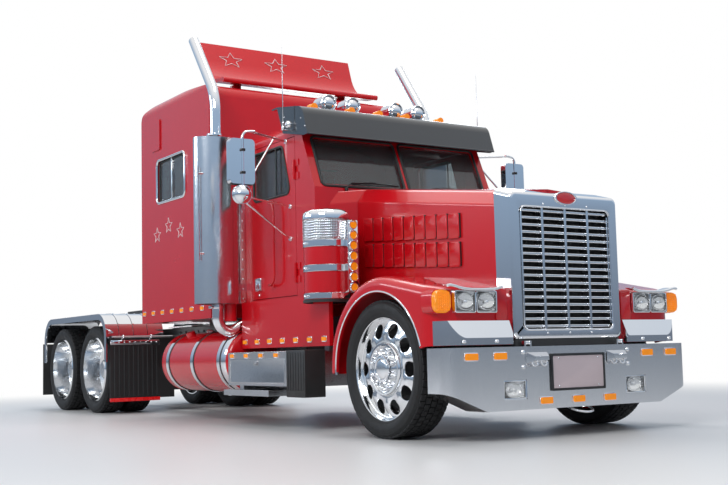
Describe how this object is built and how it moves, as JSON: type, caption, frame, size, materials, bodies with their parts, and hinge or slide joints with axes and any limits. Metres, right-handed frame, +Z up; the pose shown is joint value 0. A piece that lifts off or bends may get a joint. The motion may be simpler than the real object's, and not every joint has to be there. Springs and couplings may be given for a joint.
{
  "type": "semi truck tractor unit",
  "caption": "Long-nosed tractor unit with a tall sleeper, tilting hood, opening doors, steered front wheels, twin drive wheels and a rocking fifth wheel.",
  "frame": {"origin": "on the ground, under the middle of the overall length and width", "axes": "+X towards the nose, +Y to the driver's left, +Z up"},
  "size_m": [9.25, 3.34, 4.02],
  "materials": {
    "red_paint": "deep gloss red paint",
    "frame_black": "satin black paint",
    "chrome": "bright chrome plate",
    "polished_aluminium": "polished",
    "brushed_steel": "brushed",
    "cast_iron": "painted castings",
    "tyre_rubber": "matt black rubber",
    "flap_rubber": "matt black rubber",
    "glass": "tinted clear glass",
    "lamp_glass": "clear lens over a bright reflector",
    "visor_black": "gloss dark grey",
    "amber": "amber lens",
    "seat_leather": "dark leather",
    "dash_plastic": "matt dark grey"
  },
  "bodies": {
    "chassis": {"frame": "frame_black", "cross_members": "frame_black", "engine": "cast_iron", "radiator": "frame_black", "front_axle": "cast_iron", "drive_axles": "cast_iron", "bumper": "chrome", "tow_hooks": "chrome", "cab": "red_paint", "windshield": "glass", "visor": "visor_black", "cab_skirts": "red_paint", "sleeper": "red_paint", "sleeper_windows": "glass", "cab_mounts": "flap_rubber", "seats": "seat_leather", "dashboard": "dash_plastic", "roof_lamps": "chrome", "exhaust_stacks": "chrome", "exhaust_shields": "chrome", "air_cleaners": "chrome", "fuel_tanks": "red_paint", "tank_straps": "chrome", "step_boxes": "brushed_steel", "rear_fenders": "chrome", "mud_flaps": "flap_rubber", "deck": "brushed_steel", "fifth_wheel_base": "cast_iron", "wing": "red_paint", "fog_lamps": "lamp_glass", "marker_lamps": "amber"},
    "hood": {"hood_panel": "red_paint", "grille_surround": "chrome", "grille": "chrome", "front_fenders": "red_paint", "headlights": "lamp_glass", "fender_plates": "chrome", "turn_lamps": "amber"},
    "door_left": {"door_left": "red_paint", "door_glass_left": "glass", "mirror_left": "chrome"},
    "door_right": {"door_right": "red_paint", "door_glass_right": "glass", "mirror_right": "chrome"},
    "knuckle_left": {"knuckle_left": "cast_iron"},
    "knuckle_right": {"knuckle_right": "cast_iron"},
    "tie_rod": {"tie_rod": "cast_iron"},
    "wheel_front_left": {"tyre_front_left": "tyre_rubber", "wheel_front_left": "chrome"},
    "wheel_front_right": {"tyre_front_right": "tyre_rubber", "wheel_front_right": "chrome"},
    "wheels_mid_left": {"tyres_mid_left": "tyre_rubber", "wheels_mid_left": "polished_aluminium"},
    "wheels_mid_right": {"tyres_mid_right": "tyre_rubber", "wheels_mid_right": "polished_aluminium"},
    "wheels_rear_left": {"tyres_rear_left": "tyre_rubber", "wheels_rear_left": "polished_aluminium"},
    "wheels_rear_right": {"tyres_rear_right": "tyre_rubber", "wheels_rear_right": "polished_aluminium"},
    "fifth_wheel": {"fifth_wheel_plate": "cast_iron"}
  },
  "joints": [
    {"name": "hood_tilt", "type": "hinge", "parent": "chassis", "child": "hood", "pos_m": [4.538, 0, 0.7], "axis": [0, 1, 0], "range_deg": [0, 75]},
    {"name": "door_left_swing", "type": "hinge", "parent": "chassis", "child": "door_left", "pos_m": [2.101, 1.014, 1.9], "axis": [0, 0, -1], "range_deg": [0, 65]},
    {"name": "door_right_swing", "type": "hinge", "parent": "chassis", "child": "door_right", "pos_m": [2.101, -1.014, 1.9], "axis": [0, 0, 1], "range_deg": [0, 65]},
    {"name": "steer_left", "type": "hinge", "parent": "chassis", "child": "knuckle_left", "pos_m": [3.678, 0.86, 0.528], "axis": [0, 0, 1], "range_deg": [-38, 38]},
    {"name": "steer_right", "type": "hinge", "parent": "chassis", "child": "knuckle_right", "pos_m": [3.678, -0.86, 0.528], "axis": [0, 0, 1], "range_deg": [-38, 38]},
    {"name": "tie_rod_pivot", "type": "hinge", "parent": "knuckle_left", "child": "tie_rod", "pos_m": [3.502, 0.86, 0.402], "axis": [0, 0, 1], "range_deg": [-38, 38]},
    {"name": "spin_front_left", "type": "hinge", "parent": "knuckle_left", "child": "wheel_front_left", "pos_m": [3.678, 1.03, 0.528], "axis": [0, 1, 0], "continuous": true},
    {"name": "spin_front_right", "type": "hinge", "parent": "knuckle_right", "child": "wheel_front_right", "pos_m": [3.678, -1.03, 0.528], "axis": [0, 1, 0], "continuous": true},
    {"name": "spin_mid_left", "type": "hinge", "parent": "chassis", "child": "wheels_mid_left", "pos_m": [-2.562, 0.91, 0.528], "axis": [0, 1, 0], "continuous": true},
    {"name": "spin_mid_right", "type": "hinge", "parent": "chassis", "child": "wheels_mid_right", "pos_m": [-2.562, -0.91, 0.528], "axis": [0, 1, 0], "continuous": true},
    {"name": "spin_rear_left", "type": "hinge", "parent": "chassis", "child": "wheels_rear_left", "pos_m": [-3.762, 0.91, 0.528], "axis": [0, 1, 0], "continuous": true},
    {"name": "spin_rear_right", "type": "hinge", "parent": "chassis", "child": "wheels_rear_right", "pos_m": [-3.762, -0.91, 0.528], "axis": [0, 1, 0], "continuous": true},
    {"name": "fifth_wheel_rock", "type": "hinge", "parent": "chassis", "child": "fifth_wheel", "pos_m": [-3.122, 0, 1.15], "axis": [0, 1, 0], "range_deg": [-12, 12]}
  ],
  "couplings": [
    {"joint": "steer_right", "follows": "steer_left", "ratio": 1},
    {"joint": "tie_rod_pivot", "follows": "steer_left", "ratio": -1}
  ]
}
